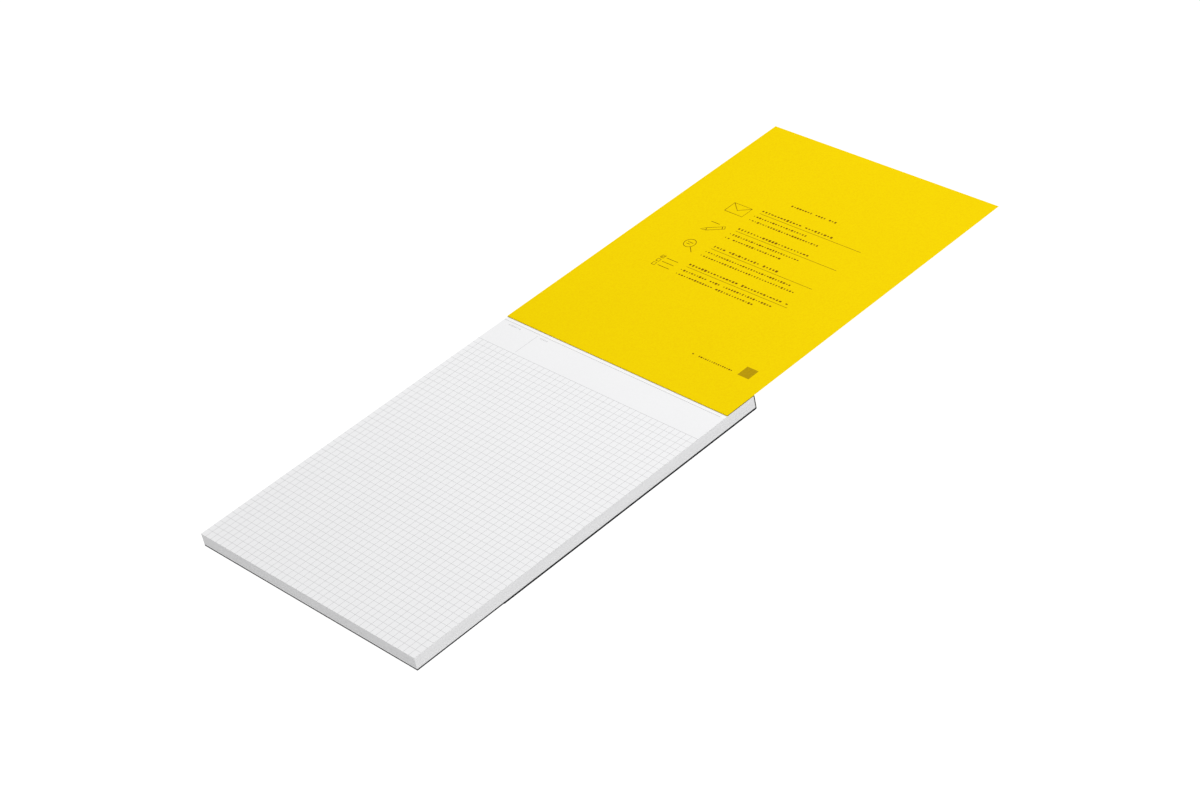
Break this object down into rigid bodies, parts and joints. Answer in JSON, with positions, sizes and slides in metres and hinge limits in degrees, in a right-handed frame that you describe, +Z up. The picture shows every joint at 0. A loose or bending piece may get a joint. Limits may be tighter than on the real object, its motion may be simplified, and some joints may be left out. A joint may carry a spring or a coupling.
{
  "type": "grid notepad",
  "caption": "Top-bound pad of squared paper, lying open, with a wrapped spine, a stiff back board and a thin cover that turns at its crease.",
  "frame": {"origin": "on the face the pad rests on, at the middle of the pad's width and of its length from the sheets' front edge to the spine", "axes": "+X across the sheets, +Y from the front edge to the spine, +Z up"},
  "size_m": [0.21, 0.5509, 0.0113],
  "materials": {
    "sheets": "uncoated white writing paper",
    "board": "dark grey solid board",
    "wrap_card": "black matt card",
    "cover_card": "yellow matt card",
    "staple_wire": "zinc-plated flat wire"
  },
  "bodies": {
    "pad": {"page_block": "sheets", "back_board": "board", "binding_wrap": "wrap_card", "cover_margin": "cover_card", "staples": "staple_wire"},
    "cover": {"front_cover": "cover_card"}
  },
  "joints": [
    {"name": "cover_hinge", "type": "hinge", "parent": "pad", "child": "cover", "pos_m": [0, 0.1251, 0.01093], "axis": [1, 0, 0], "range_deg": [0, 180]}
  ]
}
